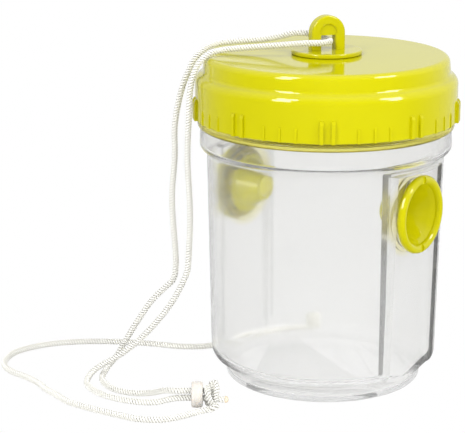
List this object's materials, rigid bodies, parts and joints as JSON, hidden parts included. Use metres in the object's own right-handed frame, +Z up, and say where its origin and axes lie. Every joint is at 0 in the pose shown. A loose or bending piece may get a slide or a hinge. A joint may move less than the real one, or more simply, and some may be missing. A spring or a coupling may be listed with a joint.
{
  "type": "wasp trap",
  "caption": "Hanging wasp trap: clear jar with side funnels in flat panels, screw lid on a helical thread, swivelling eye, and a doubled cord with a sliding bead and knots.",
  "frame": {"origin": "middle of the jar's foot, on the surface that it stands on", "axes": "+Z up along the jar's axis; +X out through the right funnel; the cord lies towards -X and -Y"},
  "size_m": [0.1727, 0.1526, 0.1523],
  "materials": {
    "clear_plastic": "clear moulded plastic, faintly frosted",
    "yellow_plastic": "glossy moulded plastic",
    "white_gasket": "matt soft seal",
    "cream_cord": "braided synthetic cord",
    "ivory_bead": "smooth satin plastic"
  },
  "bodies": {
    "jar": {"jar": "clear_plastic"},
    "gasket": {"lid_gasket": "white_gasket"},
    "lid": {"lid": "yellow_plastic"},
    "hanger": {"hanger_eye": "yellow_plastic", "cord_short": "cream_cord", "cord_long": "cream_cord", "cord_tail": "cream_cord", "cord_knot": "cream_cord", "cord_end_knot": "cream_cord"},
    "bead": {"cord_bead": "ivory_bead"},
    "funnel_right": {"funnel_right": "yellow_plastic"},
    "funnel_left": {"funnel_left": "yellow_plastic"}
  },
  "joints": [
    {"name": "lid_lift", "type": "slide", "parent": "jar", "child": "gasket", "axis": [0, 0, 1], "range_m": [0, 0.015]},
    {"name": "lid_turn", "type": "hinge", "parent": "gasket", "child": "lid", "pos_m": [0, 0, 0.13], "axis": [0, 0, 1], "range_deg": [0, 1080]},
    {"name": "eye_swivel", "type": "hinge", "parent": "gasket", "child": "hanger", "pos_m": [0, 0, 0.1355], "axis": [0, 0, 1], "continuous": true},
    {"name": "bead_slide", "type": "slide", "parent": "hanger", "child": "bead", "axis": [-0.7986, -0.6018, 0], "range_m": [0, 0.006]},
    {"name": "funnel_right_slide", "type": "slide", "parent": "jar", "child": "funnel_right", "axis": [1, 0, 0], "range_m": [0, 0.025]},
    {"name": "funnel_left_slide", "type": "slide", "parent": "jar", "child": "funnel_left", "axis": [-1, 0, 0], "range_m": [0, 0.025]}
  ],
  "couplings": [
    {"joint": "lid_lift", "follows": "lid_turn", "m_per_rad": 0.00079577}
  ]
}
